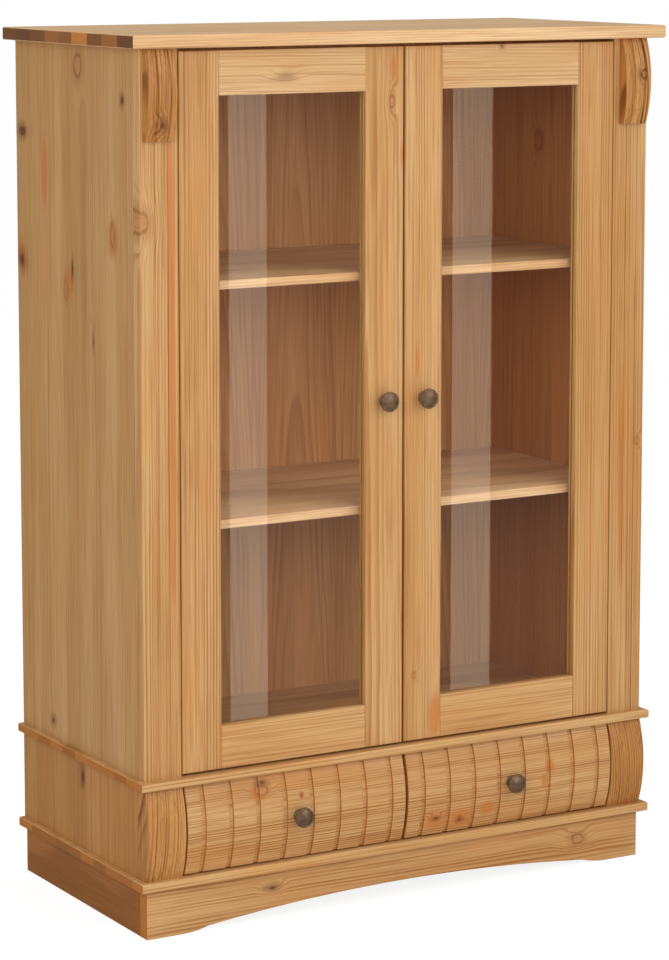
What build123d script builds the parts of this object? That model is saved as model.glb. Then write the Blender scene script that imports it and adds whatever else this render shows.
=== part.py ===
from build123d import *
import os

# A free-standing pine display cabinet: two glazed doors over two bow-fronted, fluted drawers, on a
# plinth with a shallow arch. Millimetres, X to the right, Y to the back, Z up. The origin is the
# middle of the whole cabinet's footprint, on the floor.
os.makedirs("parts", exist_ok=True)

# Top board
top_side_overhang = 18
top_thickness = 18
top_front_overhang = 19
top_back_overhang = 3
top_edge_radius = 2.5

# Carcass
body_width = 814
body_depth = 383
side_thickness = 20
door_opening_height = 982
drawer_opening_height = 127
back_panel_thickness = 8
back_panel_recess = 3.5
back_rebate_depth = 8

# Middle and base boards
mid_thickness = 12
base_thickness = 13
ledge_side_overhang = 9
ledge_front_overhang = 11
ledge_edge_radius = 2.2

# Plinth
plinth_height = 68
plinth_side_inset = 3
plinth_front_inset = 1
plinth_thickness = 20
plinth_rear_thickness = 18
plinth_rear_inset = 15
arch_foot_width = 54
arch_rise = 23
arch_spring_rise = 6
arch_ogee_run = 40

# Pilasters, their flutes and the corbels over them
pilaster_width = 57
pilaster_thickness = 20
pilaster_edge_radius = 2
flute_spacing = 18.5
flute_width = 7
flute_depth = 1.4
corbel_width = 43
corbel_height = 122
corbel_step = 6.5
corbel_bulge = 11.5
corbel_inner_inset = 9
corbel_edge_chamfer = 1.2
corbel_flute_depth = 2.4

# Bowed blocks and drawer fronts
bow_step = 1
bow_rise = 12
bow_edge_chamfer = 1.2
drawer_front_thickness = 20
drawer_side_gap = 2.5
drawer_middle_gap = 4.5
drawer_top_gap = 1.5
drawer_bottom_gap = 2.5
drawer_flute_count = 8
drawer_flute_width = 7.5
drawer_flute_depth = 2.8
drawer_end_slat = 24.5

# Drawer boxes, runners and the divider between them
divider_thickness = 18
drawer_box_gap = 3
drawer_board = 12
drawer_rear_gap = 21.5
drawer_side_height = 92
drawer_side_lift = 14
drawer_back_height = 72
drawer_bottom_thickness = 5
drawer_bottom_groove = 5
drawer_bottom_lift = 9
runner_height = 10
runner_bite = 5
runner_bite_clearance = 1
runner_seat_gap = 0.3
runner_under_gap = 0.7
runner_stop_gap = 0.5
runner_height_in_side = 46
runner_start = 30
runner_rear_gap = 2

# Doors
door_thickness = 20
door_side_gap = 1.5
door_middle_gap = 3.6
door_bottom_gap = 3
door_top_gap = 4.5
stile_width = 60
rail_width = 60
frame_edge_chamfer = 1
glass_thickness = 4
glass_setback = 9
glass_rebate = 9
glass_clearance = 1
bead_end_gap = 0.3
bead_chamfer = 2.5

# Shelves and their pins
shelf_thickness = 13
shelf_setback = 28
shelf_end_gap = 1
shelf_edge_radius = 2
lower_shelf_rise = 328
upper_shelf_rise = 655
pin_radius = 2.5
pin_sides = 8
pin_hole_clearance = 0.1
pin_hole_depth = 10
pin_end_gap = 0.5
pin_reach = 10
pin_pad_width = 8
pin_pad_thickness = 2
pin_from_shelf_edge = 45

# Concealed hinges
hinge_end_distance = 95
cup_radius = 17.5
cup_depth = 12
cup_wall = 1
cup_fit_gap = 0.1
cup_edge_distance = 5
cup_flange_radius = 19
cup_flange_thickness = 1.2
cup_wing_height = 54
cup_wing_width = 14
hinge_arm_gap = 0.5
hinge_arm_width = 12
hinge_arm_thickness = 4
hinge_arm_reach = 34
hinge_plate_height = 50
hinge_plate_thickness = 2
hinge_block_height = 70
hinge_block_depth = 60

# Knobs and their screws
knob_radius = 14
knob_projection = 18
knob_disc_thickness = 5
knob_rim_chamfer = 1
knob_neck_radius = 5
knob_base_radius = 8.5
knob_base_thickness = 2
knob_seat_depth = 1
door_knob_rise = 487
screw_radius = 2
screw_sides = 12
screw_bore_clearance = 0.15
screw_hole_clearance = 0.5
screw_bite = 9
screw_tip_gap = 0.5
screw_head_radius = 4
screw_head_thickness = 2.4

# Places worked out from the sizes
bow_total = bow_step + bow_rise
overall_depth = top_back_overhang + body_depth + bow_total - knob_seat_depth + knob_projection
y_rear = overall_depth / 2
y_body_back = y_rear - top_back_overhang
y_face = y_body_back - body_depth
y_panel = y_body_back - back_panel_recess - back_panel_thickness
y_frame_back = y_face + pilaster_thickness

z_base_under = plinth_height
z_base_top = z_base_under + base_thickness
z_mid_under = z_base_top + drawer_opening_height
z_mid_top = z_mid_under + mid_thickness
z_top_under = z_mid_top + door_opening_height
z_top = z_top_under + top_thickness

x_body = body_width / 2
x_top = x_body + top_side_overhang
x_side_inner = x_body - side_thickness
x_opening = x_body - pilaster_width
sides = {"left": -1, "right": 1}


def save(piece, name):
    """Label a finished piece and write it to its own file."""
    piece.part.label = name
    export_step(piece.part, f"parts/{name}.step")


def span_box(x_span, y_span, z_span, mode=Mode.ADD):
    """A square-edged block between three pairs of limits, in the part that is being built."""
    with BuildSketch(Plane.XY.offset(min(z_span))) as outline:
        with Locations((sum(x_span) / 2, sum(y_span) / 2)):
            Rectangle(abs(x_span[1] - x_span[0]), abs(y_span[1] - y_span[0]))
    extrude(outline.sketch, amount=abs(z_span[1] - z_span[0]), mode=mode)


def board(name, x_span, y_span, z_span):
    """A plain board that touches its neighbours with flat faces."""
    with BuildPart() as piece:
        span_box(x_span, y_span, z_span)
    save(piece, name)


# Top board
with BuildPart() as top_board:
    span_box(
        (-x_top, x_top),
        (y_face - top_front_overhang, y_rear),
        (z_top_under, z_top),
    )
    fillet(top_board.faces().sort_by(Axis.Z)[-1].edges(), top_edge_radius)
    fillet(top_board.faces().sort_by(Axis.Z)[0].edges(), top_edge_radius)
save(top_board, "top_board")


def ledge(name, z_under, thickness):
    """A thin board that stands proud of the carcass, with softened edges at the front and the ends."""
    x_end = x_body + ledge_side_overhang
    with BuildPart() as piece:
        span_box((-x_end, x_end), (y_face - ledge_front_overhang, y_body_back), (z_under, z_under + thickness))
        rims = piece.faces().filter_by(Axis.Z).edges()
        fillet(rims - rims.group_by(Axis.Y)[-1], ledge_edge_radius)
    save(piece, name)


ledge("mid_board", z_mid_under, mid_thickness)
ledge("base_board", z_base_under, base_thickness)


def shelf_levels():
    """Undersides of the two shelves."""
    return {"lower_shelf": z_mid_top + lower_shelf_rise, "upper_shelf": z_mid_top + upper_shelf_rise}


shelf_front = y_face + shelf_setback
shelf_back = y_panel - shelf_end_gap
pin_rows = (shelf_front + pin_from_shelf_edge, shelf_back - pin_from_shelf_edge)
pin_drop = pin_pad_thickness + pin_radius


def pin_bar(x_start, length, y_pin, z_pin, radius, mode=Mode.ADD):
    """An eight-sided bar along X for a shelf pin or its hole, in the part that is being built."""
    with BuildSketch(Plane.YZ.offset(x_start)) as section:
        with Locations((y_pin, z_pin)):
            RegularPolygon(radius, pin_sides, major_radius=False)
    extrude(section.sketch, amount=length, mode=mode)


def side_panel(name, hand, z_low, z_high, with_pin_holes):
    """A side with the rebate that holds the back panel, and the holes for the shelf pins."""
    with BuildPart() as piece:
        span_box(
            (hand * x_body, hand * x_side_inner),
            (y_frame_back, y_body_back),
            (z_low, z_high),
        )
        span_box(
            (hand * x_side_inner, hand * (x_side_inner + back_rebate_depth)),
            (y_panel, y_body_back),
            (z_low, z_high),
            mode=Mode.SUBTRACT,
        )
        if with_pin_holes:
            x_hole = min(hand * x_side_inner, hand * (x_side_inner + pin_hole_depth))
            for y_pin in pin_rows:
                for z_shelf in shelf_levels().values():
                    z_pin = z_shelf - pin_drop
                    hole_radius = pin_radius + pin_hole_clearance
                    pin_bar(x_hole, pin_hole_depth, y_pin, z_pin, hole_radius, mode=Mode.SUBTRACT)
    save(piece, name)


for side, hand in sides.items():
    side_panel(f"{side}_side_panel", hand, z_mid_top, z_top_under, True)
    side_panel(f"{side}_lower_side", hand, z_base_top, z_mid_under, False)

x_rebate = x_side_inner + back_rebate_depth
y_panel_span = (y_panel, y_panel + back_panel_thickness)
board("back_panel", (-x_rebate, x_rebate), y_panel_span, (z_mid_top, z_top_under))
board("lower_back_panel", (-x_rebate, x_rebate), y_panel_span, (z_base_top, z_mid_under))


# Pilasters with two shallow flutes each
def pilaster(name, hand):
    x_middle = hand * (x_body - pilaster_width / 2)
    with BuildPart() as piece:
        span_box(
            (hand * x_body, hand * x_opening),
            (y_face, y_frame_back),
            (z_mid_top, z_top_under),
        )
        front_edges = piece.edges().filter_by(Axis.Z).group_by(Axis.Y)[0]
        fillet(front_edges, pilaster_edge_radius)
        with BuildSketch(Plane.XY.offset(z_mid_top)):
            with Locations(*[(x_middle + step * flute_spacing / 2, y_face) for step in (-1, 1)]):
                Rectangle(flute_width, 2 * flute_depth)
        extrude(amount=door_opening_height, mode=Mode.SUBTRACT)
    save(piece, name)


def bow_radius(half_height, rise):
    """Radius of the arc that rises this much over a straight line of twice this half height."""
    return (half_height**2 + rise**2) / (2 * rise)


def bowed_block(piece, x_span, y_crown, y_back, z_span, rise, edge_chamfer):
    """A block whose front bows forward between its ends. Returns the axis of the bow."""
    z_middle = sum(z_span) / 2
    radius = bow_radius((z_span[1] - z_span[0]) / 2, rise)
    y_ends = y_crown + rise
    with BuildSketch(Plane.YZ.offset(min(x_span))) as outline:
        with BuildLine():
            Polyline((y_ends, z_span[0]), (y_back, z_span[0]), (y_back, z_span[1]), (y_ends, z_span[1]))
            ThreePointArc((y_ends, z_span[1]), (y_crown, z_middle), (y_ends, z_span[0]))
        make_face()
    extrude(outline.sketch, amount=max(x_span) - min(x_span))
    chamfer(piece.edges().filter_by(GeomType.CIRCLE), edge_chamfer)
    return Axis((0, y_crown + radius, z_middle), (1, 0, 0))


def bow_flutes(bow_axis, y_crown, flutes, width, depth):
    """Flat-bottomed flutes that follow the bow of the part that is being built."""
    with BuildSketch(Plane.XY.offset(bow_axis.position.Z)) as grooves:
        with Locations(*[(x_flute, y_crown) for x_flute in flutes]):
            Rectangle(width, 2 * depth)
    revolve(grooves.sketch, axis=bow_axis, mode=Mode.SUBTRACT)


# Corbels at the heads of the pilasters
def corbel(name, hand):
    x_inner = hand * (x_opening + corbel_inner_inset)
    x_outer = hand * (x_opening + corbel_inner_inset + corbel_width)
    x_middle = (x_inner + x_outer) / 2
    y_crown = y_face - corbel_step - corbel_bulge
    z_span = (z_top_under - corbel_height, z_top_under)
    with BuildPart() as piece:
        bow_axis = bowed_block(
            piece, (x_inner, x_outer), y_crown, y_face, z_span, corbel_bulge, corbel_edge_chamfer
        )
        flutes = (x_middle - flute_spacing / 2, x_middle + flute_spacing / 2)
        bow_flutes(bow_axis, y_crown, flutes, flute_width, corbel_flute_depth)
    save(piece, name)


# Blocks at the ends of the drawer row, which carry the pilasters' line down to the plinth
def end_block(name, hand):
    x_span = (hand * x_body, hand * x_opening)
    z_span = (z_base_top, z_mid_under)
    with BuildPart() as piece:
        bowed_block(piece, x_span, y_face - bow_total, y_frame_back, z_span, bow_rise, bow_edge_chamfer)
    save(piece, name)


for side, hand in sides.items():
    pilaster(f"{side}_pilaster", hand)
    corbel(f"{side}_corbel", hand)
    end_block(f"{side}_end_block", hand)

# Divider between the drawers
x_divider = divider_thickness / 2
board("drawer_divider", (-x_divider, x_divider), (y_frame_back, y_panel), (z_base_top, z_mid_under))

# Plinth: the front board covers the ends of the side boards
x_plinth = x_body - plinth_side_inset
y_plinth = y_face + plinth_front_inset
y_plinth_back = y_plinth + plinth_thickness
with BuildPart() as plinth_front:
    x_foot = x_plinth - arch_foot_width
    x_spring = x_foot - arch_ogee_run
    arch_radius = bow_radius(x_spring, arch_rise - arch_spring_rise)
    with BuildSketch(Plane.XZ.offset(-y_plinth_back)):
        with BuildLine():
            Polyline((-x_foot, 0), (-x_plinth, 0), (-x_plinth, plinth_height))
            Line((-x_plinth, plinth_height), (x_plinth, plinth_height))
            Polyline((x_plinth, plinth_height), (x_plinth, 0), (x_foot, 0))
            crown = ThreePointArc((-x_spring, arch_spring_rise), (0, arch_rise), (x_spring, arch_spring_rise))
            for start, end in (((-x_foot, 0), crown @ 0), ((x_foot, 0), crown @ 1)):
                middle = (Vector(*start) + end) / 2 - Vector(0, arch_spring_rise / 4)
                ThreePointArc(start, middle, end)
        make_face()
    extrude(amount=plinth_thickness)
save(plinth_front, "plinth_front")

z_plinth = (0, plinth_height)
x_plinth_inner = x_plinth - plinth_thickness
for side, hand in sides.items():
    y_span = (y_plinth_back, y_body_back)
    board(f"{side}_plinth_side", (hand * x_plinth, hand * x_plinth_inner), y_span, z_plinth)
y_plinth_rear = y_body_back - plinth_rear_inset
y_span = (y_plinth_rear - plinth_rear_thickness, y_plinth_rear)
board("plinth_rear", (-x_plinth_inner, x_plinth_inner), y_span, z_plinth)

# Shelves
for name, z_under in shelf_levels().items():
    x_shelf = x_side_inner - shelf_end_gap
    with BuildPart() as shelf:
        span_box((-x_shelf, x_shelf), (shelf_front, shelf_back), (z_under, z_under + shelf_thickness))
        fillet(shelf.edges().filter_by(Axis.X).group_by(Axis.Y)[0], shelf_edge_radius)
    save(shelf, name)

# Shelf pins: a stem in the side panel and a flat pad under the shelf
with BuildPart() as shelf_pins:
    for hand in sides.values():
        for z_under in shelf_levels().values():
            for y_pin in pin_rows:
                x_ends = (hand * (x_side_inner - pin_reach), hand * (x_side_inner + pin_hole_depth - pin_end_gap))
                pin_bar(min(x_ends), max(x_ends) - min(x_ends), y_pin, z_under - pin_drop, pin_radius)
                span_box(
                    (hand * x_side_inner, hand * (x_side_inner - pin_reach)),
                    (y_pin - pin_pad_width / 2, y_pin + pin_pad_width / 2),
                    (z_under - pin_drop, z_under),
                )
save(shelf_pins, "shelf_pins")

# Door places, shared by the hinges
z_door = z_mid_top + door_bottom_gap
door_height = door_opening_height - door_bottom_gap - door_top_gap
x_door_hinge = x_opening - door_side_gap
x_door_free = door_middle_gap / 2
y_door_back = y_face + door_thickness
hinge_levels = (z_door + hinge_end_distance, z_door + door_height - hinge_end_distance)
x_cup = x_door_hinge - cup_edge_distance - cup_radius

# Wooden blocks behind the pilasters, which carry the hinge plates
with BuildPart() as hinge_blocks:
    for hand in sides.values():
        for z_hinge in hinge_levels:
            span_box(
                (hand * x_side_inner, hand * x_opening),
                (y_frame_back, y_frame_back + hinge_block_depth),
                (z_hinge - hinge_block_height / 2, z_hinge + hinge_block_height / 2),
            )
save(hinge_blocks, "hinge_blocks")

# Hinge plates and arms: each arm ends just behind the flange of its cup
y_arm = y_door_back + cup_flange_thickness + hinge_arm_gap
with BuildPart() as hinge_arms:
    for hand in sides.values():
        x_plate = x_opening - hinge_plate_thickness
        for z_hinge in hinge_levels:
            z_arm = (z_hinge - hinge_arm_width / 2, z_hinge + hinge_arm_width / 2)
            span_box(
                (hand * x_opening, hand * x_plate),
                (y_arm, y_frame_back + hinge_block_depth - cup_edge_distance),
                (z_hinge - hinge_plate_height / 2, z_hinge + hinge_plate_height / 2),
            )
            span_box(
                (hand * x_plate, hand * (x_plate - hinge_arm_thickness)),
                (y_arm, y_arm + hinge_arm_reach),
                z_arm,
            )
            with BuildSketch(Plane.XY.offset(z_arm[0])):
                with BuildLine():
                    Polyline(
                        (hand * (x_plate - hinge_arm_thickness), y_arm),
                        (hand * x_cup, y_arm),
                        (hand * x_cup, y_arm + hinge_arm_thickness),
                        (hand * (x_plate - hinge_arm_thickness), y_arm + hinge_arm_reach / 2),
                        close=True,
                    )
                make_face()
            extrude(amount=hinge_arm_width)
save(hinge_arms, "hinge_arms")


# Doors
def knob(name, x_knob, y_seat, z_knob):
    """A flat disc on a neck with a round foot, turned about the line of its screw."""
    y_disc = -knob_projection
    axle = Axis((x_knob, y_seat, z_knob), (0, 1, 0))
    with BuildPart() as piece:
        with BuildSketch(Plane(origin=(x_knob, y_seat, z_knob))):
            with BuildLine():
                Polyline(
                    (0, 0),
                    (knob_base_radius, 0),
                    (knob_base_radius, -knob_base_thickness),
                    (knob_neck_radius, -knob_base_thickness),
                    (knob_neck_radius, y_disc + knob_disc_thickness),
                    (knob_radius, y_disc + knob_disc_thickness),
                    (knob_radius, y_disc + knob_rim_chamfer),
                    (knob_radius - knob_rim_chamfer, y_disc),
                    (0, y_disc),
                    close=True,
                )
            make_face()
        revolve(axis=axle)
        with BuildSketch(Plane.XZ.offset(-y_seat)):
            with Locations((x_knob, z_knob)):
                Circle(screw_radius + screw_bore_clearance)
        extrude(amount=screw_bite + screw_tip_gap, mode=Mode.SUBTRACT)
    save(piece, name)


def knob_screw(name, x_knob, y_seat, y_head, z_knob):
    """A machine screw from the back of the wood into the knob."""
    y_head_back = y_head + screw_head_thickness
    with BuildPart() as piece:
        for radius, y_back, length in (
            (screw_radius, y_head, y_head - y_seat + screw_bite),
            (screw_head_radius, y_head_back, screw_head_thickness),
        ):
            with BuildSketch(Plane.XZ.offset(-y_back)) as section:
                with Locations((x_knob, z_knob)):
                    RegularPolygon(radius, screw_sides)
            extrude(section.sketch, amount=length)
    save(piece, name)


def frame_member(name, x_span, z_span, rebate_x_span, rebate_z_span, cups=(), screw_hole=None):
    """A stile or a rail with softened front edges and the rebate that takes the glass."""
    with BuildPart() as piece:
        span_box(x_span, (y_face, y_door_back), z_span)
        chamfer(piece.faces().sort_by(Axis.Y)[0].edges(), frame_edge_chamfer)
        span_box(rebate_x_span, (y_face + glass_setback, y_door_back), rebate_z_span, mode=Mode.SUBTRACT)
        if cups:
            with BuildSketch(Plane.XZ.offset(-y_door_back)):
                with Locations(*cups):
                    Circle(cup_radius + cup_fit_gap)
            extrude(amount=cup_depth + cup_fit_gap, mode=Mode.SUBTRACT)
        if screw_hole:
            with BuildSketch(Plane.XZ.offset(-y_door_back)):
                with Locations(screw_hole):
                    Circle(screw_radius + screw_hole_clearance)
            extrude(amount=door_thickness, mode=Mode.SUBTRACT)
    save(piece, name)


def glass_beads(name, x_rebates, x_sights, z_rebates, z_sights):
    """Four strips behind the glass, each chamfered where it meets the sight line."""
    y_span = (y_face + glass_setback + glass_thickness, y_door_back)
    x_ends = [x + bead_end_gap * (1 if x < max(x_sights) else -1) for x in x_sights]
    strips = [((x_rebate, x_sight), z_rebates) for x_rebate, x_sight in zip(x_rebates, x_sights)]
    strips += [(x_ends, (z_rebate, z_sight)) for z_rebate, z_sight in zip(z_rebates, z_sights)]
    with BuildPart() as piece:
        for x_strip, z_strip in strips:
            span_box(x_strip, y_span, z_strip)
        back_edges = piece.edges().filter_by_position(Axis.Y, y_door_back, y_door_back)
        upright = back_edges.filter_by(Axis.Z).filter_by_position(Axis.X, min(x_sights), max(x_sights))
        level = back_edges.filter_by(Axis.X).filter_by_position(Axis.Z, min(z_sights), max(z_sights))
        chamfer(upright.filter_by(lambda edge: edge.length > rail_width) + level, bead_chamfer)
    save(piece, name)


def door(side, hand):
    """One glazed door: two stiles, two rails, the glass with its beads, the hinge cups and the knob."""
    x_hinge, x_free = hand * x_door_hinge, hand * x_door_free
    x_sight_hinge = x_hinge - hand * stile_width
    x_sight_free = x_free + hand * stile_width
    z_low, z_high = z_door, z_door + door_height
    z_sight = (z_low + rail_width, z_high - rail_width)
    z_rebate = (z_sight[0] - glass_rebate, z_sight[1] + glass_rebate)
    x_rebate_hinge = x_sight_hinge + hand * glass_rebate
    x_rebate_free = x_sight_free - hand * glass_rebate
    cups = [(hand * x_cup, z) for z in hinge_levels]
    x_knob, z_knob = x_free + hand * stile_width / 2, z_door + door_knob_rise
    frame_member(
        f"{side}_door_hinge_stile", (x_hinge, x_sight_hinge), (z_low, z_high),
        (x_rebate_hinge, x_sight_hinge), z_rebate, cups=cups,
    )
    frame_member(
        f"{side}_door_free_stile", (x_free, x_sight_free), (z_low, z_high),
        (x_rebate_free, x_sight_free), z_rebate, screw_hole=(x_knob, z_knob),
    )
    x_between = (x_sight_hinge, x_sight_free)
    frame_member(
        f"{side}_door_top_rail", x_between, (z_sight[1], z_high), x_between, (z_sight[1], z_rebate[1]),
    )
    frame_member(
        f"{side}_door_bottom_rail", x_between, (z_low, z_sight[0]), x_between, (z_rebate[0], z_sight[0]),
    )
    x_glass = (x_rebate_hinge - hand * glass_clearance, x_rebate_free + hand * glass_clearance)
    z_glass = (z_rebate[0] + glass_clearance, z_rebate[1] - glass_clearance)
    y_glass_back = y_face + glass_setback + glass_thickness
    board(f"{side}_door_glass", x_glass, (y_face + glass_setback, y_glass_back), z_glass)
    glass_beads(f"{side}_door_beads", (x_rebate_hinge, x_rebate_free), x_between, z_rebate, z_sight)
    with BuildPart() as hinge_cups:
        for x_hole, z_hole in cups:
            with BuildSketch(Plane.XZ.offset(-y_door_back)):
                with Locations((x_hole, z_hole)):
                    Circle(cup_radius)
            extrude(amount=cup_depth)
            with BuildSketch(Plane.XZ.offset(-y_door_back - cup_flange_thickness)):
                with Locations((x_hole, z_hole)):
                    Circle(cup_flange_radius)
                    Rectangle(cup_wing_width, cup_wing_height)
            extrude(amount=cup_flange_thickness)
            with BuildSketch(Plane.XZ.offset(-y_door_back - cup_flange_thickness)):
                with Locations((x_hole, z_hole)):
                    Circle(cup_radius - cup_wall)
            extrude(amount=cup_flange_thickness + cup_depth - cup_wall, mode=Mode.SUBTRACT)
    save(hinge_cups, f"{side}_door_hinge_cups")
    knob(f"{side}_door_knob", x_knob, y_face, z_knob)
    knob_screw(f"{side}_door_knob_screw", x_knob, y_face, y_door_back, z_knob)


for side, hand in sides.items():
    door(side, hand)

# Drawer places, shared by the runners
z_drawer = (z_base_top + drawer_bottom_gap, z_mid_under - drawer_top_gap)
y_drawer_back_of_front = y_face + drawer_front_thickness
y_box_end = y_panel - drawer_rear_gap
z_side = z_base_top + drawer_side_lift
z_runner = z_side + runner_height_in_side
z_groove = (z_runner - runner_under_gap, z_runner + runner_height + runner_seat_gap)
x_box_outer = x_opening - drawer_box_gap
x_box_inner = x_divider + drawer_box_gap
groove_depth = runner_bite + runner_bite_clearance
y_runner = (y_drawer_back_of_front + runner_start, y_panel - runner_rear_gap)
y_groove = (y_runner[0] - runner_stop_gap, y_box_end)

# Fillers beside the end blocks, and the wooden runners that the drawers slide on
with BuildPart() as runner_fillers:
    for hand in sides.values():
        span_box(
            (hand * x_side_inner, hand * x_opening),
            (y_frame_back, y_panel),
            (z_runner - runner_height, z_runner + 2 * runner_height),
        )
save(runner_fillers, "runner_fillers")

with BuildPart() as drawer_runners:
    for hand in sides.values():
        for x_wall, x_tip in (
            (x_opening, x_box_outer - runner_bite),
            (x_divider, x_box_inner + runner_bite),
        ):
            span_box((hand * x_wall, hand * x_tip), y_runner, (z_runner, z_runner + runner_height))
save(drawer_runners, "drawer_runners")


# Drawers
def drawer(side, hand):
    """One drawer: fluted bow front, two grooved sides, a back, a bottom and the knob."""
    x_outer = x_opening - drawer_side_gap
    x_inner = drawer_middle_gap / 2
    x_front = sorted((hand * x_outer, hand * x_inner))
    width = x_outer - x_inner
    pitch = (width - 2 * drawer_end_slat) / (drawer_flute_count - 1)
    flutes = [x_front[0] + drawer_end_slat + pitch * i for i in range(drawer_flute_count)]
    y_crown = y_face - bow_total
    y_knob_seat = y_crown + knob_seat_depth
    x_knob, z_knob = sum(x_front) / 2, sum(z_drawer) / 2
    z_bottom = (z_side + drawer_bottom_lift, z_side + drawer_bottom_lift + drawer_bottom_thickness)
    x_box = sorted((hand * x_box_outer, hand * x_box_inner))
    x_bottom = (x_box[0] + drawer_board - drawer_bottom_groove, x_box[1] - drawer_board + drawer_bottom_groove)
    y_bottom = (y_drawer_back_of_front - drawer_bottom_groove, y_box_end)

    with BuildPart() as front:
        bow_axis = bowed_block(
            front, x_front, y_crown, y_drawer_back_of_front, z_drawer, bow_rise, bow_edge_chamfer
        )
        bow_flutes(bow_axis, y_crown, flutes, drawer_flute_width, drawer_flute_depth)
        span_box(x_bottom, y_bottom, z_bottom, mode=Mode.SUBTRACT)
        with BuildSketch(Plane.XZ.offset(-y_drawer_back_of_front)):
            with Locations((x_knob, z_knob)):
                Circle(screw_radius + screw_hole_clearance)
        extrude(amount=y_drawer_back_of_front - y_crown, mode=Mode.SUBTRACT)
        with BuildSketch(Plane.XZ.offset(-y_knob_seat)):
            with Locations((x_knob, z_knob)):
                Circle(knob_base_radius + screw_hole_clearance)
        extrude(amount=knob_seat_depth + bow_step, mode=Mode.SUBTRACT)
    save(front, f"{side}_drawer_front")

    for place, x_wall, into in (("left", x_box[0], 1), ("right", x_box[1], -1)):
        with BuildPart() as box_side:
            span_box(
                (x_wall, x_wall + into * drawer_board),
                (y_drawer_back_of_front, y_box_end),
                (z_side, z_side + drawer_side_height),
            )
            span_box((x_wall, x_wall + into * groove_depth), y_groove, z_groove, mode=Mode.SUBTRACT)
            span_box(x_bottom, y_bottom, z_bottom, mode=Mode.SUBTRACT)
        save(box_side, f"{side}_drawer_{place}_side")
    x_between = (x_box[0] + drawer_board, x_box[1] - drawer_board)
    board(
        f"{side}_drawer_back", x_between, (y_box_end - drawer_board, y_box_end),
        (z_bottom[1], z_bottom[1] + drawer_back_height),
    )
    board(f"{side}_drawer_bottom", x_bottom, y_bottom, z_bottom)
    knob(f"{side}_drawer_knob", x_knob, y_knob_seat, z_knob)
    knob_screw(f"{side}_drawer_knob_screw", x_knob, y_knob_seat, y_drawer_back_of_front, z_knob)


for side, hand in sides.items():
    drawer(side, hand)
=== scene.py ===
import math

import bmesh
import bpy
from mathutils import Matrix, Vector


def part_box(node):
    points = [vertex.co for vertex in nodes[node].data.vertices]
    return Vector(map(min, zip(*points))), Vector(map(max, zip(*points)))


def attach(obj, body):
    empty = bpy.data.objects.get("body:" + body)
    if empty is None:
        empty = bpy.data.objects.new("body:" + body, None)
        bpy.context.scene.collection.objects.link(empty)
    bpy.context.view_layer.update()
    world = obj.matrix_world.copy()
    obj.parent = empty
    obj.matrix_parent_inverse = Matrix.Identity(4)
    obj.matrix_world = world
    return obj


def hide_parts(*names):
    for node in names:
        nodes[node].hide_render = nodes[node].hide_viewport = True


# A pine display cabinet in satin lacquer: two glazed doors, two fluted drawers, antique bronze knobs.
# Metres, X to the right, Y to the back, Z up, as the frame has it.
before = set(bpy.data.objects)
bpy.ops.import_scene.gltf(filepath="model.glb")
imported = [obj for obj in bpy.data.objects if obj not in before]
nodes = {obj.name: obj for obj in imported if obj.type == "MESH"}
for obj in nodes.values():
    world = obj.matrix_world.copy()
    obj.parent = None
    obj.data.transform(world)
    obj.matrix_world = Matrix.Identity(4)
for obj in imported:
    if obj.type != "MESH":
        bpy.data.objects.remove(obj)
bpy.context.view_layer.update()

# The photograph's camera: focal length in picture points of a 960 high picture, angles in radians
IMAGE_HEIGHT = 960
SENSOR = 36.0
FOCAL_POINTS = 3243.0
CAMERA_PLACE = (-2.327, -3.969, 1.3673)
CAMERA_TURN = 0.5289
CAMERA_TILT = -0.1288
SHIFT_DOWN = 0.145
SIGHT_END = 80.0

# Faces that the grain is measured from
SIDES = ("left", "right")
top_low, top_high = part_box("top_board")
TOP = top_high[2]
DOOR_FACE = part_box("left_door_top_rail")[0][1]
DRAWER_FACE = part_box("left_drawer_front")[0][1]
SIDE_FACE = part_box("right_side_panel")[1][0]
OUTER_FACE = {"left": -SIDE_FACE, "right": SIDE_FACE}
PLINTH_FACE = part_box("plinth_front")[0][1]
PANEL_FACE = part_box("back_panel")[0][1]
CORBEL_MIDDLE = DOOR_FACE - 0.02
DRAWER_MIDDLE = 0.1

# Lights, in watts, and the brightness of the surround, of the floor's own glow and of the two reflected bands
KEY_WATTS = 31.0
FILL_WATTS = 21.0
LEFT_WATTS = 29.0
TOP_WATTS = 16.0
SKY = 0.55
SKY_IN_GLOSS = 0.28
FLOOR_GLOW = 1.2
FLOOR_GLOW_SHARE = 0.72
BAND_RADIANCE = 3.3
BAND_COLOUR = (1.0, 0.84, 0.66)
WHITE = (1.0, 1.0, 1.0, 1.0)

# Wood colours as a screen shows them: early wood, warmer early wood, and the lines of late wood
LACQUERED = {"pale": (214, 170, 114), "warm": (200, 150, 91), "line": (158, 96, 40)}
LIGHT_WOOD = {"pale": (224, 187, 137), "warm": (212, 170, 115), "line": (170, 110, 56)}
SHELF_WOOD = {"pale": (234, 194, 146), "warm": (225, 178, 126), "line": (176, 116, 66)}
SIDE_WOOD = {"pale": (207, 163, 109), "warm": (191, 143, 87), "line": (150, 98, 46)}
# Painted shade: a darker, more orange copy of the side wood for the lower side boards, for the light that
# falls off toward the floor
LOW_SIDE_WOOD_PAINTED_SHADE = {"pale": (196, 143, 81), "warm": (180, 123, 63), "line": (146, 90, 40)}
ORANGE_WOOD = {"pale": (204, 149, 84), "warm": (184, 124, 62), "line": (128, 72, 24)}
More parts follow.
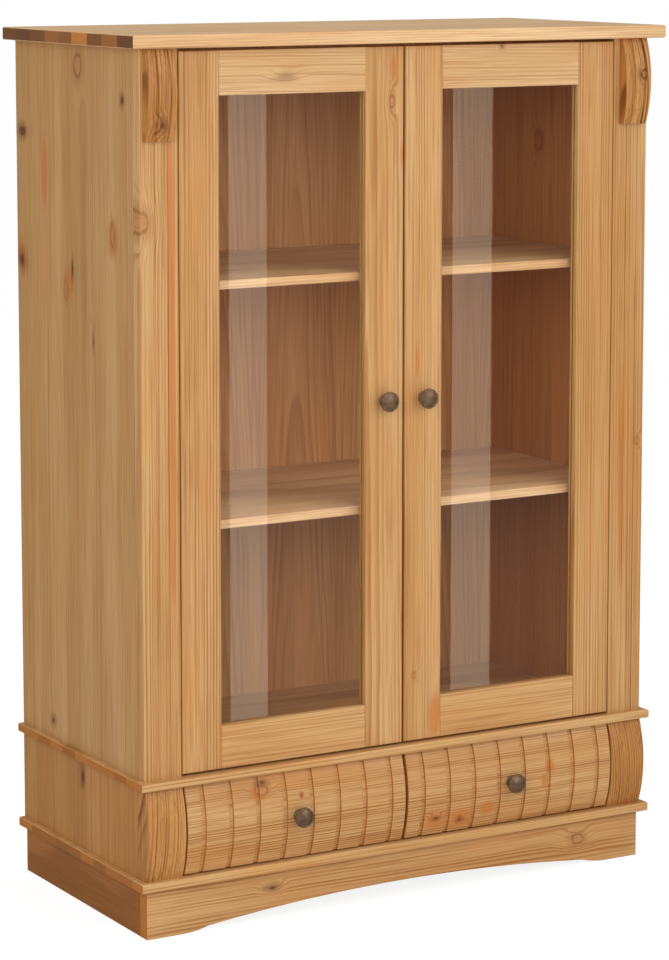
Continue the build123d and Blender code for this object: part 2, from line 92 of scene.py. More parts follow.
# Painted shade: a still darker, more orange copy of the side wood for the plinth's sides, for the light that
# falls off toward the floor
PLINTH_SIDE_WOOD_PAINTED_SHADE = {"pale": (168, 112, 56), "warm": (153, 95, 43), "line": (124, 68, 26)}
RAW_WOOD = {"pale": (222, 184, 134), "warm": (208, 164, 110), "line": (176, 126, 76)}
PANEL_WOOD = {"pale": (214, 157, 100), "warm": (197, 137, 82), "line": (152, 96, 50)}
END_GRAIN = (152, 94, 36)
KNOT_HEART = (194, 136, 80)
KNOT_RIM = (104, 54, 22)
DARK_MARK = (92, 48, 22)
STREAK = (196, 112, 46)
WARM_CLOUD = (206, 136, 66)
# Painted shade for the faces that look into the cabinet: darker and redder, for the dim light inside it
INSIDE_PAINTED_SHADE = (0.92, 0.66, 0.46, 1.0)

# A board wider than this is cut from one plank, so it has no staves
ONE_PLANK = 3.0


def screen(colour):
    """A screen colour from 0 to 255 as the linear values that a shader takes."""
    parts = [c / 255 for c in colour]
    linear = [c / 12.92 if c <= 0.04045 else ((c + 0.055) / 1.055) ** 2.4 for c in parts]
    return (*linear, 1.0)


class Shading:
    """A node tree, with short calls for the steps that repeat."""

    def __init__(self, tree):
        self.tree = tree

    def add(self, kind, **settings):
        node = self.tree.nodes.new(kind)
        for key, value in settings.items():
            setattr(node, key, value)
        return node

    def link(self, source, target):
        self.tree.links.new(source, target)

    def feed(self, socket, value):
        if isinstance(value, bpy.types.NodeSocket):
            self.link(value, socket)
        else:
            socket.default_value = value

    def work_out(self, operation, *values):
        node = self.add("ShaderNodeMath", operation=operation)
        for socket, value in zip(node.inputs, values):
            self.feed(socket, value)
        return node.outputs[0]

    def times(self, first, second):
        return self.work_out("MULTIPLY", first, second)

    def plus(self, first, second):
        return self.work_out("ADD", first, second)

    def times_plus(self, value, factor, added):
        return self.work_out("MULTIPLY_ADD", value, factor, added)

    def vector(self, x, y, z):
        node = self.add("ShaderNodeCombineXYZ")
        for socket, value in zip(node.inputs, (x, y, z)):
            self.feed(socket, value)
        return node.outputs[0]

    def split(self, vector):
        node = self.add("ShaderNodeSeparateXYZ")
        self.link(vector, node.inputs[0])
        return node.outputs

    def noise(self, x, y, z, detail=2.0):
        node = self.add("ShaderNodeTexNoise")
        self.link(self.vector(x, y, z), node.inputs["Vector"])
        node.inputs["Scale"].default_value = 1.0
        node.inputs["Detail"].default_value = detail
        return node.outputs["Fac"]

    def grain_noise(self, place, scales, shifts=(0.0, 0.0, 0.0), detail=2.0):
        """Noise drawn out by its three scales, which are waves per metre."""
        return self.noise(*[self.times_plus(*terms) for terms in zip(place, scales, shifts)], detail)

    def ramp(self, value, low, high, to_low=0.0, to_high=1.0, kind="SMOOTHSTEP"):
        """The value moved from one range to another and held inside it."""
        node = self.add("ShaderNodeMapRange", clamp=True, interpolation_type=kind)
        for socket, number in zip(node.inputs, (value, low, high, to_low, to_high)):
            self.feed(socket, number)
        return node.outputs[0]

    def mix(self, share, first, second, mode="MIX"):
        node = self.add("ShaderNodeMix", data_type="RGBA", blend_type=mode, clamp_factor=True)
        self.feed(node.inputs[0], share)
        self.feed(node.inputs[6], first)
        self.feed(node.inputs[7], second)
        return node.outputs[2]


class Finish(Shading):
    """One finish: a material with a principled shader."""

    def __init__(self, name):
        self.material = bpy.data.materials.new(name)
        self.material.use_nodes = True
        super().__init__(self.material.node_tree)
        self.tree.nodes.clear()
        self.shader = self.add("ShaderNodeBsdfPrincipled")
        self.output = self.add("ShaderNodeOutputMaterial")
        self.link(self.shader.outputs[0], self.output.inputs["Surface"])

    def set(self, name, value):
        self.feed(self.shader.inputs[name], value)

    def bump(self, height, strength, distance):
        node = self.add("ShaderNodeBump")
        node.inputs["Strength"].default_value = strength
        node.inputs["Distance"].default_value = distance
        self.link(height, node.inputs["Height"])
        self.link(node.outputs["Normal"], self.shader.inputs["Normal"])


def nearest_spot(f, over, along, wobble, spots):
    """How far the nearest of some ovals is, where 1 is its rim. A spot is its middle and its half sizes."""
    nearest = None
    for spot_over, spot_along, half_width, half_length in spots:
        across = f.times(f.plus(over, -spot_over), 1 / half_width)
        length = f.times(f.plus(along, -spot_along), 1 / half_length)
        distance = f.work_out("SQRT", f.times_plus(across, across, f.times(length, length)))
        nearest = distance if nearest is None else f.work_out("MINIMUM", nearest, distance)
    return f.plus(nearest, wobble)


def late_wood_lines(f, radius, ring, over, along_log, chance, seed):
    """Rings of uneven width. Each darkens slowly and ends sharply, and stretches of them stay faint."""
    width_change = f.noise(f.times(radius, 55.0), f.times(chance, 50.0), float(seed), 1.0)
    rings = f.work_out("FRACT", f.times_plus(radius, 1 / ring, f.times(width_change, 2.2)))
    late_wood = f.times(f.ramp(rings, 0.25, 0.86), f.ramp(rings, 1.0, 0.9))
    strength = f.noise(f.times(radius, 110.0), f.times_plus(along_log, 1.6, seed), f.times(over, 8.0), 2.0)
    return f.times(late_wood, f.ramp(strength, 0.32, 0.66, 0.12, 1.15))


def with_knots(f, colour, line, knot, strand, blotch):
    """A knot is nearly the wood's own colour, with rings of its own and a broken dark rim."""
    own_rings = f.times(f.ramp(f.work_out("PINGPONG", f.times(knot, 3.0), 0.5), 0.1, 0.5, 0.0, 0.4), blotch)
    heart_colour = f.mix(own_rings, screen(KNOT_HEART), screen(KNOT_RIM))
    colour = f.mix(f.ramp(knot, 2.4, 1.0, 0.0, 0.35), colour, line)
    colour = f.mix(f.ramp(knot, 1.05, 0.85, 0.0, 0.75), colour, heart_colour)
    rim = f.times(f.ramp(knot, 0.72, 0.95), f.ramp(knot, 1.22, 1.02))
    return f.mix(f.times(rim, f.ramp(strand, 0.3, 0.6, 0.1, 0.55)), colour, screen(KNOT_RIM))


def with_marks(f, colour, mark):
    """A small dark mark, such as a bark pocket or a pin knot, in a brown halo."""
    colour = f.mix(f.ramp(mark, 2.8, 0.7, 0.0, 0.45), colour, screen(KNOT_RIM))
    return f.mix(f.ramp(mark, 0.95, 0.3, 0.0, 0.75), colour, screen(DARK_MARK))


def with_stave_tint(f, colour, chances, shade, glued):
    """Each stave has its own tint, and a board from one plank is only shaded."""
    tint = f.add("ShaderNodeCombineColor")
    depth = 1.0 if glued else 0.0
    red = f.times_plus(chances[0], 0.07 * depth, shade - 0.035 * depth)
    f.feed(tint.inputs[0], red)
    f.feed(tint.inputs[1], f.times_plus(chances[1], 0.03 * depth, red))
    f.feed(tint.inputs[2], f.times_plus(chances[2], 0.06 * depth, red))
    return f.mix(1.0, colour, tint.outputs[0], "MULTIPLY")


def stepped_end_grain(f, over, low, high, steps):
    """End grain whose darkness changes from stave to stave between two limits."""
    shades = f.add("ShaderNodeValToRGB")
    shades.color_ramp.interpolation = "CONSTANT"
    f.link(f.ramp(over, low, high, kind="LINEAR"), shades.inputs[0])
    stops = shades.color_ramp.elements
    for number, (share, step) in enumerate(steps):
        stop = stops[number] if number < 2 else stops.new(share)
        stop.position = share
        stop.color = (*[step * c for c in screen(END_GRAIN)[:3]], 1.0)
    return shades.outputs[0]


def pine(
    name, grain, over_axis, face, seed, wood=LACQUERED, stave=ONE_PLANK, heart=(0.10, 0.03), ring=0.0042,
    wave=0.005, taper=0.004, lines=0.55, fibres=0.27, tones=1.0, shade=1.0, knots=(), marks=(),
    streaks=(), ends=1.0, end_shades=(), roughness=0.42, gloss=0.26, inside=False,
):
    """Pine with the growth rings of a log whose heart lies beside or under the board.

    grain and over_axis are the axes along the fibres and over the board's face, and face is where that face
    lies on the third axis. stave is the width of the strips that a wide board is glued up from. heart is how
    far the log's middle lies to the side and under the face, ring the rings' width, wave how far they wander
    and taper how fast they open along the board. lines, fibres, tones and ends are the strengths of the late
    wood, the fine fibres, the slow changes of tone and the darker end grain, and shade darkens or brightens
    the whole board. knots, marks and streaks are ovals on the face. end_shades gives the end grain of each
    stave its own brightness. inside paints shade on the face that looks into the cabinet, darker and redder
    for the dim light inside it.
    """
    f = Finish(name)
    place = f.add("ShaderNodeTexCoord")
    axes = f.split(place.outputs["Object"])
    facing = f.split(place.outputs["Normal"])
    into_axis = next(axis for axis in "XYZ" if axis not in (grain, over_axis))
    along, over, into = (axes[axis] for axis in (grain, over_axis, into_axis))
    pale, warm, line = (screen(wood[tone]) for tone in ("pale", "warm", "line"))
    glued = stave < ONE_PLANK

    # each stave has its own chance numbers and its own place in the log
    stave_place = f.times_plus(over, 1 / stave, 40.5 + (seed * 0.37 if glued else 0))
    chance = f.add("ShaderNodeTexWhiteNoise", noise_dimensions="1D")
    f.link(f.plus(f.work_out("FLOOR", stave_place), seed * 7.31), chance.inputs["W"])
    chances = f.split(chance.outputs["Color"])
    over_stave = f.times(f.plus(f.work_out("FRACT", stave_place), -0.5), stave)
    along_log = f.times_plus(chances[0], 9.0, along)
    in_log = (over, along_log, into)

    # the rings' radius, which wanders slowly, trembles quickly and turns aside at knots
    slow = f.plus(f.grain_noise(in_log, (9.0, 1.8, 9.0), (0.0, 0.0, seed)), -0.5)
    quick = f.plus(f.grain_noise(in_log, (60.0, 9.0, 60.0), detail=1.0), -0.5)
    over_heart = f.plus(over_stave, f.times_plus(chances[1], heart[0], heart[0] * 0.5))
    depth = f.work_out("ABSOLUTE", f.plus(into, -face))
    under = f.plus(depth, f.times_plus(chances[2], heart[1], heart[1] * 0.5))
    radius = f.work_out("SQRT", f.times_plus(over_heart, over_heart, f.times(under, under)))
    radius = f.times_plus(along_log, taper, radius)
    radius = f.times_plus(slow, wave, radius)
    radius = f.times_plus(quick, 0.0014, radius)
    if knots or marks:
        obstacle = nearest_spot(f, over, along, f.times(quick, 2.1), knots + marks)
        radius = f.times_plus(f.ramp(obstacle, 4.0, 0.6), 0.009, radius)
    late_wood = late_wood_lines(f, radius, ring, over, along_log, chance.outputs["Value"], seed)

    fibre = f.grain_noise(in_log, (800.0, 14.0, 800.0))
    strand = f.grain_noise(in_log, (260.0, 6.0, 260.0), detail=3.0)
    tone = f.grain_noise(in_log, (16.0, 1.5, 16.0))
    blotch = f.grain_noise(in_log, (34.0, 12.0, 30.0), (0.0, 0.0, seed), 3.0)
    cloud = f.grain_noise(in_log, (24.0, 5.0, 24.0), (0.0, seed, 0.0))

    colour = f.mix(f.ramp(tone, 0.32, 0.68, 0.5 - 0.5 * tones, 0.5 + 0.5 * tones), pale, warm)
    colour = f.mix(f.times(late_wood, lines), colour, line)
    colour = f.mix(f.ramp(fibre, 0.4, 0.72, 0.0, fibres), colour, line)
    colour = f.mix(f.ramp(strand, 0.48, 0.74, 0.0, 1.6 * fibres), colour, line)
    colour = f.mix(f.ramp(blotch, 0.52, 0.8, 0.0, 0.35 * tones), colour, warm)
    colour = f.mix(f.ramp(cloud, 0.52, 0.76, 0.0, 0.3 * tones), colour, screen(WARM_CLOUD))
    if streaks:
        streak = nearest_spot(f, over, along, f.times(quick, 0.9), streaks)
        colour = f.mix(f.ramp(streak, 1.15, 0.35, 0.0, 0.68), colour, screen(STREAK))
    if knots:
        knot = nearest_spot(f, over, along, f.times(quick, 2.1), knots)
        colour = with_knots(f, colour, line, knot, strand, blotch)
    if marks:
        colour = with_marks(f, colour, nearest_spot(f, over, along, f.times(quick, 2.6), marks))
    # painted shade: the faces that look into the cabinet are darkened and reddened for the dim light inside
    # it
    if inside:
        inward = f.ramp(f.times(facing[into_axis], -1.0 if face > 0 else 1.0), 0.5, 0.9)
        colour = f.mix(inward, colour, f.mix(1.0, colour, INSIDE_PAINTED_SHADE, "MULTIPLY"))
    colour = with_stave_tint(f, colour, chances, shade, glued)

    # end grain drinks more lacquer and is darker
    end = f.ramp(f.work_out("ABSOLUTE", facing[grain]), 0.72, 0.95)
    if end_shades:
        end_colour = stepped_end_grain(f, over, *end_shades)
    else:
        end_colour = f.mix(chances[1], screen(END_GRAIN), screen([c * 1.25 for c in END_GRAIN]))
    colour = f.mix(f.times(end, ends), colour, end_colour)

    f.set("Base Color", colour)
    f.set("Roughness", f.times_plus(fibre, 0.14, roughness - 0.07))
    f.set("Specular IOR Level", gloss)
    f.set("Coat Weight", 0.2 * gloss)
    f.set("Coat Roughness", 0.28)
    f.bump(f.times_plus(late_wood, 0.5, f.times(fibre, 0.4)), 0.16, 0.0003)
    return f.material


def pane_glass():
    """Clear float glass."""
    f = Finish("clear_pane_glass")
    f.set("Base Color", screen((252, 254, 253)))
    f.set("Roughness", 0.0)
    f.set("IOR", 1.45)
    f.set("Specular IOR Level", 0.16)
    f.set("Transmission Weight", 1.0)
    return f.material


def antique_bronze():
    """Brown bronze in a darker and a paler tone, mixed by a soft cloud and fine brushed marks."""
    f = Finish("antique_bronze")
    place = f.split(f.add("ShaderNodeTexCoord").outputs["Object"])
    cloud = f.grain_noise(place, (160.0, 160.0, 160.0), detail=3.0)
    brushed = f.grain_noise(place, (300.0, 300.0, 2600.0), detail=1.0)
    worn = f.times_plus(brushed, 0.4, f.times(cloud, 0.6))
    f.set("Base Color", f.mix(f.ramp(worn, 0.35, 0.65), screen((112, 88, 66)), screen((142, 116, 90))))
    f.set("Metallic", 0.65)
    f.set("Roughness", f.ramp(worn, 0.3, 0.7, 0.4, 0.5))
    f.bump(brushed, 0.06, 0.0001)
    return f.material


def plated_steel():
    """Nickel plated steel with fine drawn marks."""
    f = Finish("plated_steel")
    place = f.split(f.add("ShaderNodeTexCoord").outputs["Object"])
    marks = f.grain_noise(place, (2500.0, 90.0, 2500.0))
    f.set("Base Color", f.mix(marks, screen((176, 176, 174)), screen((206, 206, 204))))
    f.set("Metallic", 1.0)
    f.set("Roughness", f.ramp(marks, 0.3, 0.7, 0.24, 0.36))
    f.bump(marks, 0.1, 0.0001)
    return f.material


def put_on(node_name, material):
    """Give a CAD node its finish."""
    slots = nodes[node_name].data.materials
    slots.clear()
    slots.append(material)


# Knots, dark marks and orange streaks where the photograph has them, each as its place over the board, its
# place along it, half its width and half its length
SIDE_KNOTS = {
    "left": ((0.0055, 1.1745, 0.012, 0.017), (-0.0955, 0.9496, 0.009, 0.018), (0.0494, 0.8617, 0.005, 0.012)),
    "right": ((0.07, 1.04, 0.009, 0.013), (-0.06, 0.71, 0.011, 0.016)),
}
SIDE_MARKS = {
    "left": (
        (-0.1284, 1.1324, 0.0045, 0.006), (0.1823, 1.075, 0.010, 0.006), (0.1923, 0.8928, 0.010, 0.009),
        (0.0274, 0.8944, 0.003, 0.012), (-0.0348, 0.8014, 0.0022, 0.012), (0.1038, 0.2445, 0.005, 0.006),
    ),
    "right": (),
}
SIDE_STREAKS = {
    "left": (
        (0.1135, 1.0263, 0.012, 0.05), (0.19, 0.90, 0.02, 0.03), (0.04, 0.875, 0.018, 0.03),
        (-0.095, 0.945, 0.02, 0.035),
    ),
    "right": (),
}
LOWER_SIDE_MARKS = {"left": ((0.0117, 0.1835, 0.004, 0.008),), "right": ((-0.05, 0.17, 0.003, 0.006),)}
FREE_STILE_KNOTS = {"left": ((-0.0204, 1.1213, 0.004, 0.010),), "right": ((0.018, 0.316, 0.003, 0.005),)}
FREE_STILE_MARKS = {"left": ((-0.0012, 1.0519, 0.0014, 0.016),), "right": ()}
FREE_STILE_STREAKS = {
    "left": ((-0.0172, 1.1692, 0.006, 0.02), (-0.004, 1.05, 0.006, 0.03)),
    "right": ((0.0536, 0.255, 0.012, 0.04), (0.022, 0.76, 0.004, 0.03)),
}
PILASTER_KNOTS = {"left": ((-0.4035, 0.9743, 0.010, 0.015),), "right": ((0.397, 0.62, 0.003, 0.005),)}
PILASTER_STREAKS = {"left": ((-0.3609, 0.80, 0.007, 0.45),), "right": ((0.3700, 0.55, 0.004, 0.16),)}
CORBEL_MARKS = {"left": ((-0.3802, 1.1018, 0.005, 0.006),), "right": ((0.385, 1.15, 0.003, 0.004),)}
TOP_RAIL_MARKS = {"left": ((1.1619, -0.1867, 0.004, 0.012),), "right": ((1.1949, 0.1585, 0.0025, 0.003),)}
DRAWER_KNOTS = {"left": ((0.186, -0.2320, 0.005, 0.007),), "right": ()}
DRAWER_MARKS = {
    "left": ((0.1721, -0.1703, 0.002, 0.002), (0.197, -0.2290, 0.003, 0.006)),
    "right": ((0.100, 0.0901, 0.003, 0.004), (0.1081, 0.0495, 0.003, 0.005)),
}
DRAWER_STREAKS = {
    "left": ((0.183, -0.236, 0.014, 0.016), (0.1721, -0.1703, 0.006, 0.005)),
    "right": (
        (0.158, 0.2420, 0.014, 0.008), (0.138, 0.2310, 0.014, 0.007), (0.104, 0.0901, 0.018, 0.026),
        (0.108, 0.0495, 0.019, 0.026), (0.112, 0.1350, 0.012, 0.018),
    ),
}
TOP_KNOTS = ((0.1003, -0.2756, 0.003, 0.009),)
PLINTH_KNOTS = ((0.040, 0.3002, 0.007, 0.011),)
PLINTH_MARKS = ((0.0425, -0.2093, 0.0035, 0.008),)

# The top board's stave ends from front to back, each as the share of the depth where it starts and how bright
# it is
TOP_END_STEPS = (
    (0.0, 0.5), (0.11, 1.1), (0.225, 0.72), (0.335, 1.75), (0.45, 0.9), (0.55, 1.1), (0.66, 0.66),
    (0.775, 0.5), (0.89, 0.62),
)


def dress_level_boards():
    """The top board, the two ledged boards and the shelves, with their grain from side to side."""
    put_on("top_board", pine(
        "top_pine", "X", "Y", TOP, 3, wood=LIGHT_WOOD, stave=0.047, heart=(0.012, 0.05), wave=0.012,
        lines=0.4, knots=TOP_KNOTS, end_shades=(top_low[1], top_high[1], TOP_END_STEPS), shade=1.15,
        gloss=0.5,
    ))
    for name, seed in (("mid_board", 11), ("base_board", 12)):
        put_on(name, pine(
            f"{name}_pine", "X", "Y", TOP, seed, stave=0.04, heart=(0.02, 0.05), lines=0.6, shade=1.02,
        ))
    for name, seed in (("lower_shelf", 71), ("upper_shelf", 72)):
        put_on(name, pine(
            f"{name}_pine", "X", "Y", TOP, seed, wood=SHELF_WOOD, stave=0.06, heart=(0.02, 0.05),
            lines=0.5, shade=1.05,
        ))


def dress_sides():
    """Side boards glued up from staves, pilasters, corbels, end blocks and the plinth's sides."""
    # the side boards carry painted shade on the faces that look into the cabinet
    side_wood = {
        "stave": 0.082, "heart": (0.03, 0.05), "ring": 0.006, "wave": 0.014, "lines": 0.3, "fibres": 0.22,
        "tones": 0.8, "inside": True,
    }
    for number, side in enumerate(SIDES):
        put_on(f"{side}_side_panel", pine(
            f"{side}_side_pine", "Z", "Y", OUTER_FACE[side], 21 + number, wood=SIDE_WOOD,
            knots=SIDE_KNOTS[side], marks=SIDE_MARKS[side], streaks=SIDE_STREAKS[side], **side_wood
        ))
        # the lower side board takes the darker copy of the side wood, painted shade for the light falling off
        # toward the floor
        put_on(f"{side}_lower_side", pine(
            f"{side}_lower_pine", "Z", "Y", OUTER_FACE[side], 23 + number, wood=LOW_SIDE_WOOD_PAINTED_SHADE,
            marks=LOWER_SIDE_MARKS[side], **side_wood
        ))
        put_on(f"{side}_pilaster", pine(
            f"{side}_pilaster_pine", "Z", "X", DOOR_FACE, 31 + number, heart=(0.09, 0.02), ring=0.005,
            wave=0.004, lines=0.62, shade=0.97, knots=PILASTER_KNOTS[side],
            streaks=PILASTER_STREAKS[side],
        ))
        put_on(f"{side}_corbel", pine(
            f"{side}_corbel_pine", "Z", "X", CORBEL_MIDDLE, 41 + number, wood=ORANGE_WOOD,
            heart=(0.012, 0.012), ring=0.0052, wave=0.016, taper=0.06, lines=0.85,
            marks=CORBEL_MARKS[side], ends=0.6,
        ))
        put_on(f"{side}_end_block", pine(
            f"{side}_end_block_pine", "Z", "X", DRAWER_FACE, 55 + number, wood=ORANGE_WOOD,
            heart=(0.014, 0.012), ring=0.0046, wave=0.02, taper=0.06, lines=0.85, ends=0.6,
        ))
        # the plinth's side takes the darkest copy of the side wood, painted shade for the light falling off
        # toward the floor
        put_on(f"{side}_plinth_side", pine(
            f"{side}_plinth_side_pine", "Y", "Z", OUTER_FACE[side], 62 + number, wood=PLINTH_SIDE_WOOD_PAINTED_SHADE,
            heart=(0.06, 0.03), wave=0.008, lines=0.4,
        ))


def dress_plinth_and_back():
    """The arched plinth front, the raw wood that is out of sight, and the back panels' cathedral grain."""
    put_on("plinth_front", pine(
        "plinth_front_pine", "X", "Z", PLINTH_FACE, 61, heart=(0.05, 0.04), ring=0.0048, wave=0.016,
        lines=0.75, knots=PLINTH_KNOTS, marks=PLINTH_MARKS, shade=0.97,
    ))
    raw = pine("raw_pine", "Y", "Z", 0.0, 81, wood=RAW_WOOD, heart=(0.05, 0.04), lines=0.4, roughness=0.6)
    for name in ("drawer_divider", "runner_fillers", "drawer_runners"):
        put_on(name, raw)
    put_on("hinge_blocks", pine("hinge_block_pine", "Z", "X", 0.0, 82, wood=RAW_WOOD, roughness=0.6))
    put_on("plinth_rear", pine("plinth_rear_pine", "X", "Z", PANEL_FACE, 83, wood=RAW_WOOD, roughness=0.6))
    for name, seed in (("back_panel", 91), ("lower_back_panel", 92)):
        put_on(name, pine(
            f"{name}_pine", "Z", "X", PANEL_FACE, seed, wood=PANEL_WOOD, stave=0.13, heart=(0.008, 0.03),
            ring=0.0065, wave=0.02, taper=0.03, lines=0.42, ends=0.5,
        ))


def dress_doors():
    """Stiles with upright grain, rails with level grain, beads and panes."""
    glass = pane_glass()
    for number, side in enumerate(SIDES):
        seed = 100 + 20 * number
        put_on(f"{side}_door_hinge_stile", pine(
            f"{side}_hinge_stile_pine", "Z", "X", DOOR_FACE, seed, heart=(0.12, 0.02), ring=0.0046,
            wave=0.004, lines=0.72,
        ))
        put_on(f"{side}_door_free_stile", pine(
            f"{side}_free_stile_pine", "Z", "X", DOOR_FACE, seed + 1, heart=(0.08, 0.03), ring=0.0048,
            wave=0.006, lines=0.55, knots=FREE_STILE_KNOTS[side], marks=FREE_STILE_MARKS[side],
            streaks=FREE_STILE_STREAKS[side],
        ))
        put_on(f"{side}_door_top_rail", pine(
            f"{side}_top_rail_pine", "X", "Z", DOOR_FACE, seed + 2, wood=LIGHT_WOOD, heart=(0.07, 0.03),
            ring=0.0044, wave=0.008, taper=0.02, lines=0.5, marks=TOP_RAIL_MARKS[side],
        ))
        put_on(f"{side}_door_bottom_rail", pine(
            f"{side}_bottom_rail_pine", "X", "Z", DOOR_FACE, seed + 3, heart=(0.10, 0.03), ring=0.0042,
            wave=0.005, lines=0.5, shade=1.02,
        ))
        put_on(f"{side}_door_beads", pine(
            f"{side}_bead_pine", "Z", "X", DOOR_FACE, seed + 4, lines=0.3, shade=0.95,
        ))
        put_on(f"{side}_door_glass", glass)
        nodes[f"{side}_door_glass"].visible_shadow = False


def dress_metal():
    """Plated hinges, screws and shelf pins."""
    steel = plated_steel()
    for side in SIDES:
        for name in ("door_hinge_cups", "door_knob_screw", "drawer_knob_screw"):
            put_on(f"{side}_{name}", steel)
    put_on("hinge_arms", steel)
    put_on("shelf_pins", steel)


def dress_drawers():
    """Fluted fronts with level grain and plain boxes."""
    for number, side in enumerate(SIDES):
        seed = 200 + 20 * number
        put_on(f"{side}_drawer_front", pine(
            f"{side}_drawer_front_pine", "X", "Z", DRAWER_FACE, seed, heart=(0.11, 0.02), ring=0.0036,
            wave=0.007, lines=0.85, fibres=0.34, shade=0.99, knots=DRAWER_KNOTS[side],
            marks=DRAWER_MARKS[side], streaks=DRAWER_STREAKS[side], ends=0.8,
        ))
        for step, part in enumerate(("left_side", "right_side")):
            put_on(f"{side}_drawer_{part}", pine(
                f"{side}_drawer_{part}_pine", "Y", "Z", 0.0, seed + 2 + step, wood=RAW_WOOD,
                heart=(0.05, 0.04), lines=0.4, roughness=0.6,
            ))
        put_on(f"{side}_drawer_back", pine(
            f"{side}_drawer_back_pine", "X", "Z", DRAWER_MIDDLE, seed + 4, wood=RAW_WOOD, lines=0.4,
            roughness=0.6,
        ))
        put_on(f"{side}_drawer_bottom", pine(
            f"{side}_drawer_bottom_pine", "X", "Y", DRAWER_MIDDLE, seed + 5, wood=RAW_WOOD, stave=0.2,
            heart=(0.02, 0.03), wave=0.02, lines=0.4, roughness=0.6,
        ))


def finished_piece(name, bm, material, body):
    """A new piece of the scene from its bmesh, riding on the body that it belongs to."""
    mesh = bpy.data.meshes.new(name)
    bm.to_mesh(mesh)
    bm.free()
    piece = bpy.data.objects.new(name, mesh)
    bpy.context.scene.collection.objects.link(piece)
    mesh.materials.append(material)
    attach(piece, body)
    return piece


KNOB_STEPS = 64
KNOB_RIM = 0.11


def knob_outline(radius, front, back):
    """Half of a turned knob's section, from the middle of its face round to the middle of its foot."""
    length = back - front
    rim = KNOB_RIM * radius
    ring_in_the_face = [
        (0.0, front + 0.012 * length), (0.78 * radius, front + 0.012 * length),
        (0.80 * radius, front + 0.035 * length), (0.84 * radius, front + 0.035 * length),
        (0.86 * radius, front),
    ]
    soft_rim = [
        (radius - rim, front), (radius - 0.3 * rim, front + 0.3 * rim), (radius, front + rim),
        (radius, front + 0.24 * length), (radius - 0.3 * rim, front + 0.27 * length),
        (radius - rim, front + 0.28 * length),
    ]
    neck = [
        (0.42 * radius, front + 0.31 * length), (0.34 * radius, front + 0.40 * length),
        (0.34 * radius, front + 0.80 * length),
    ]
    foot = [
        (0.44 * radius, back - 0.14 * length), (0.60 * radius, back - 0.11 * length), (0.60 * radius, back),
        (0.0, back),
    ]
    return ring_in_the_face + soft_rim + neck + foot


def turned_knobs():
    """Turned knobs with a soft rim and a fine ring cut in the face, in place of the plain ones."""
    bronze = antique_bronze()
    for side in SIDES:
        for part in ("door", "drawer"):
            name = f"{side}_{part}_knob"
            low, high = (Vector(corner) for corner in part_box(name))
            middle = (low + high) / 2
            outline = knob_outline((high.x - low.x) / 2, low.y, high.y)
            bm = bmesh.new()
            verts = [bm.verts.new((middle.x + r, y, middle.z)) for r, y in outline]
            edges = [bm.edges.new(pair) for pair in zip(verts, verts[1:])]
            bmesh.ops.spin(
                bm, geom=verts + edges, cent=(middle.x, 0.0, middle.z), axis=(0.0, 1.0, 0.0), angle=math.tau,
                steps=KNOB_STEPS, use_merge=True,
            )
            bmesh.ops.remove_doubles(bm, verts=bm.verts, dist=1e-6)
            bmesh.ops.recalc_face_normals(bm, faces=bm.faces)
            for face in bm.faces:
                face.smooth = True
            knob = finished_piece(f"turned_{name}", bm, bronze, f"{side}_{part}")
            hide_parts(name)


def camera():
    """The photograph's view of the cabinet."""
    data = bpy.data.cameras.new("photo_camera")
    data.sensor_width = SENSOR
    data.lens = FOCAL_POINTS / IMAGE_HEIGHT * SENSOR
    data.shift_y = -SHIFT_DOWN
    data.clip_end = SIGHT_END
    eye = bpy.data.objects.new("photo_camera", data)
    bpy.context.scene.collection.objects.link(eye)
    eye.location = CAMERA_PLACE
    forward = Vector((
        math.sin(CAMERA_TURN) * math.cos(CAMERA_TILT),
        math.cos(CAMERA_TURN) * math.cos(CAMERA_TILT),
        math.sin(CAMERA_TILT),
    ))
    eye.rotation_euler = forward.to_track_quat("-Z", "Y").to_euler()
    bpy.context.scene.camera = eye


def softbox(name, place, aim, width, height, watts, colour=WHITE[:3]):
    """A flat studio lamp that points at a spot on the cabinet."""
    data = bpy.data.lights.new(name, "AREA")
    data.shape = "RECTANGLE"
    data.size = width
    data.size_y = height
    data.energy = watts
    data.color = colour
    lamp = bpy.data.objects.new(name, data)
    bpy.context.scene.collection.objects.link(lamp)
    lamp.location = place
    lamp.rotation_euler = (Vector(aim) - Vector(place)).to_track_quat("-Z", "Y").to_euler()
    lamp.visible_camera = False
    return lamp


def reflected_bands():
    """Two tall strips of light that only the panes' reflection shows."""
    distance, height = 1.1, 1.5
    for name, left, right in (("left_band_lamp", 0.234, 0.306), ("right_band_lamp", 0.675, 0.756)):
        width = right - left
        middle = (left + right) / 2
        watts = BAND_RADIANCE * math.pi * width * height
        place, aim = (middle, -distance, height / 2), (middle, 0.0, height / 2)
        lamp = softbox(name, place, aim, width, height, watts, BAND_COLOUR)
        lamp.visible_diffuse = False
        lamp.visible_transmission = False


def straight_sight(shading, seen, bounces):
    """1 where the camera sees it straight or only through the panes, with none of the counted bounces."""
    through_glass = shading.times(seen["Is Transmission Ray"], shading.work_out("LESS_THAN", bounces, 0.5))
    return shading.work_out("MAXIMUM", seen["Is Camera Ray"], through_glass)


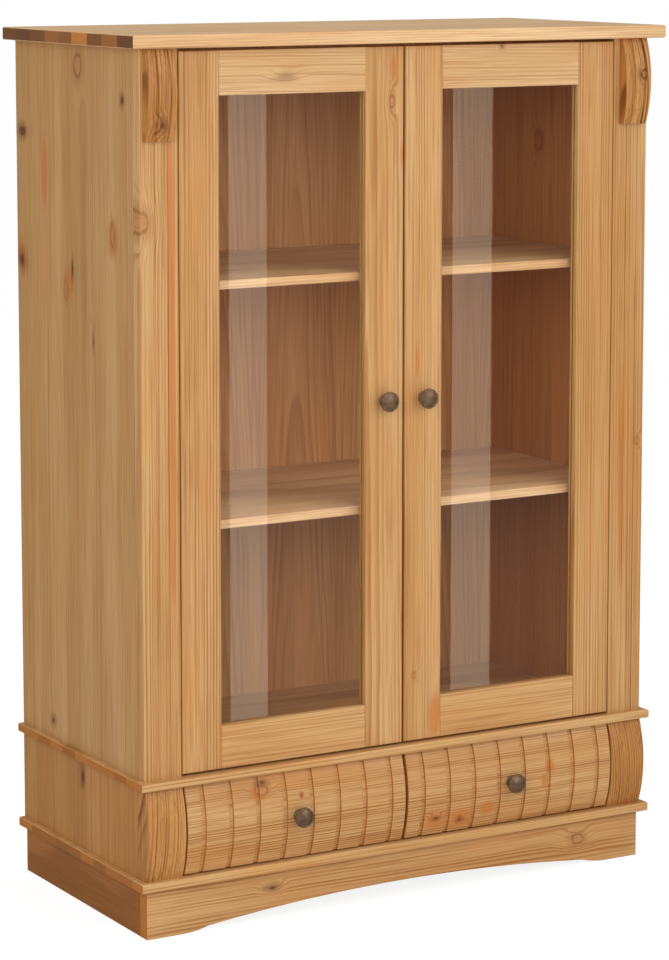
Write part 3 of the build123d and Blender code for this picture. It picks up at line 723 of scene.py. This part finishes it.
def floor():
    """A pale floor that glows to the eye, so that its shadow stays faint, and that is dull in reflections."""
    bm = bmesh.new()
    bmesh.ops.create_grid(bm, x_segments=1, y_segments=1, size=30.0)
    mesh = bpy.data.meshes.new("studio_floor")
    bm.to_mesh(mesh)
    bm.free()
    ground = bpy.data.objects.new("studio_floor", mesh)
    bpy.context.scene.collection.objects.link(ground)
    paint = Finish("studio_floor_paint")
    seen = paint.add("ShaderNodeLightPath").outputs
    paint.set("Base Color", paint.mix(seen["Is Glossy Ray"], (0.85, 0.85, 0.85, 1.0), (0.3, 0.28, 0.26, 1.0)))
    paint.set("Roughness", 0.9)
    glow = paint.add("ShaderNodeEmission")
    glow.inputs["Strength"].default_value = FLOOR_GLOW
    blend = paint.add("ShaderNodeMixShader")
    bounces = paint.plus(seen["Diffuse Depth"], seen["Glossy Depth"])
    paint.link(paint.times(straight_sight(paint, seen, bounces), FLOOR_GLOW_SHARE), blend.inputs[0])
    paint.link(paint.shader.outputs[0], blend.inputs[1])
    paint.link(glow.outputs[0], blend.inputs[2])
    paint.link(blend.outputs[0], paint.output.inputs["Surface"])
    mesh.materials.append(paint.material)


def surround():
    """White to the camera, softer as a light and softer still in reflections."""
    world = bpy.data.worlds.new("studio_surround")
    bpy.context.scene.world = world
    world.use_nodes = True
    shading = Shading(world.node_tree)
    sky = world.node_tree.nodes["Background"]
    sky.inputs["Color"].default_value = WHITE
    seen = shading.add("ShaderNodeLightPath").outputs
    unseen = shading.ramp(seen["Is Glossy Ray"], 0.0, 1.0, SKY, SKY_IN_GLOSS, "LINEAR")
    sight = straight_sight(shading, seen, seen["Glossy Depth"])
    shading.link(shading.ramp(sight, 0.0, 1.0, unseen, 1.0, "LINEAR"), sky.inputs["Strength"])


def lamps():
    """A key lamp at the right front, a fill and a lamp at the left, and a lamp over the top."""
    softbox("key_lamp", (1.3, -3.2, 2.15), (0.0, 0.0, 0.6), 2.4, 2.2, KEY_WATTS)
    fill = softbox("fill_lamp", (-1.3, -3.4, 1.35), (0.0, 0.0, 0.7), 2.0, 1.6, FILL_WATTS)
    fill.visible_glossy = False
    softbox("left_lamp", (-2.9, -1.9, 1.8), (0.0, 0.0, 0.6), 1.8, 2.0, LEFT_WATTS)
    softbox("top_lamp", (0.0, -0.3, 3.2), (0.0, 0.0, 1.2), 2.2, 1.6, TOP_WATTS)


bpy.context.scene.view_settings.view_transform = "Standard"
camera()
floor()
surround()
lamps()
reflected_bands()
dress_level_boards()
dress_sides()
dress_plinth_and_back()
dress_doors()
dress_metal()
dress_drawers()
turned_knobs()
